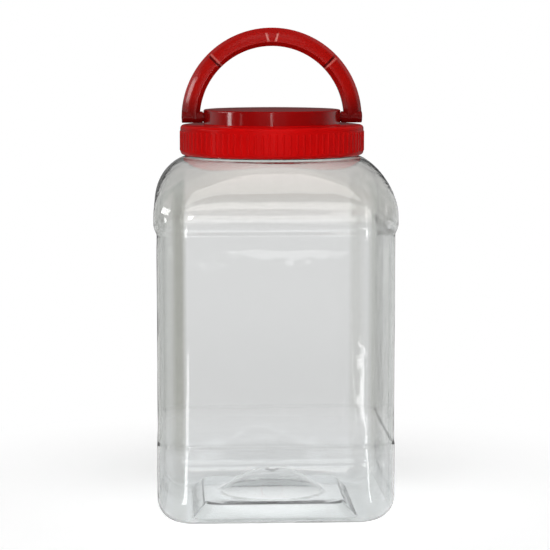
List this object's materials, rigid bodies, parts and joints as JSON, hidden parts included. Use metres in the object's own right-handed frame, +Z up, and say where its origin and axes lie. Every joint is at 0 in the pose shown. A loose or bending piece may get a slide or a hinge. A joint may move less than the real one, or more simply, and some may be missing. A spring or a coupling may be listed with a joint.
{
  "type": "square storage jar with handled screw lid",
  "caption": "Clear square storage jar with a recessed label panel, domed shoulder and round neck, closed by a ribbed red screw lid whose half-ring carry handle folds flat round a raised disc.",
  "frame": {"origin": "middle of the flat ring that the jar stands on, at the level of the table", "axes": "+Z up along the neck and the lid's turning axis, +X along the handle's pivot line, -Y towards the front"},
  "size_m": [0.154, 0.154, 0.3133],
  "materials": {
    "clear_shell": "clear blown plastic, glossy inside and out",
    "white_foam": "smooth closed-cell foam",
    "red_lid": "moulded red plastic, glossy disc and satin ribbed skirt",
    "red_handle": "moulded red plastic, satin gloss"
  },
  "bodies": {
    "jar": {"jar_body": "clear_shell"},
    "liner": {"lid_liner": "white_foam"},
    "lid": {"lid": "red_lid"},
    "handle": {"carry_handle": "red_handle"}
  },
  "joints": [
    {"name": "lid_climb", "type": "slide", "parent": "jar", "child": "liner", "axis": [0, 0, 1], "range_m": [0, 0.02]},
    {"name": "lid_turn", "type": "hinge", "parent": "liner", "child": "lid", "pos_m": [0, 0, 0.2488], "axis": [0, 0, 1], "range_deg": [0, 1170]},
    {"name": "handle_fold", "type": "hinge", "parent": "lid", "child": "handle", "pos_m": [0, 0, 0.25545], "axis": [1, 0, 0], "range_deg": [-90, 90]}
  ],
  "couplings": [
    {"joint": "lid_climb", "follows": "lid_turn", "m_per_rad": 0.00095493}
  ]
}
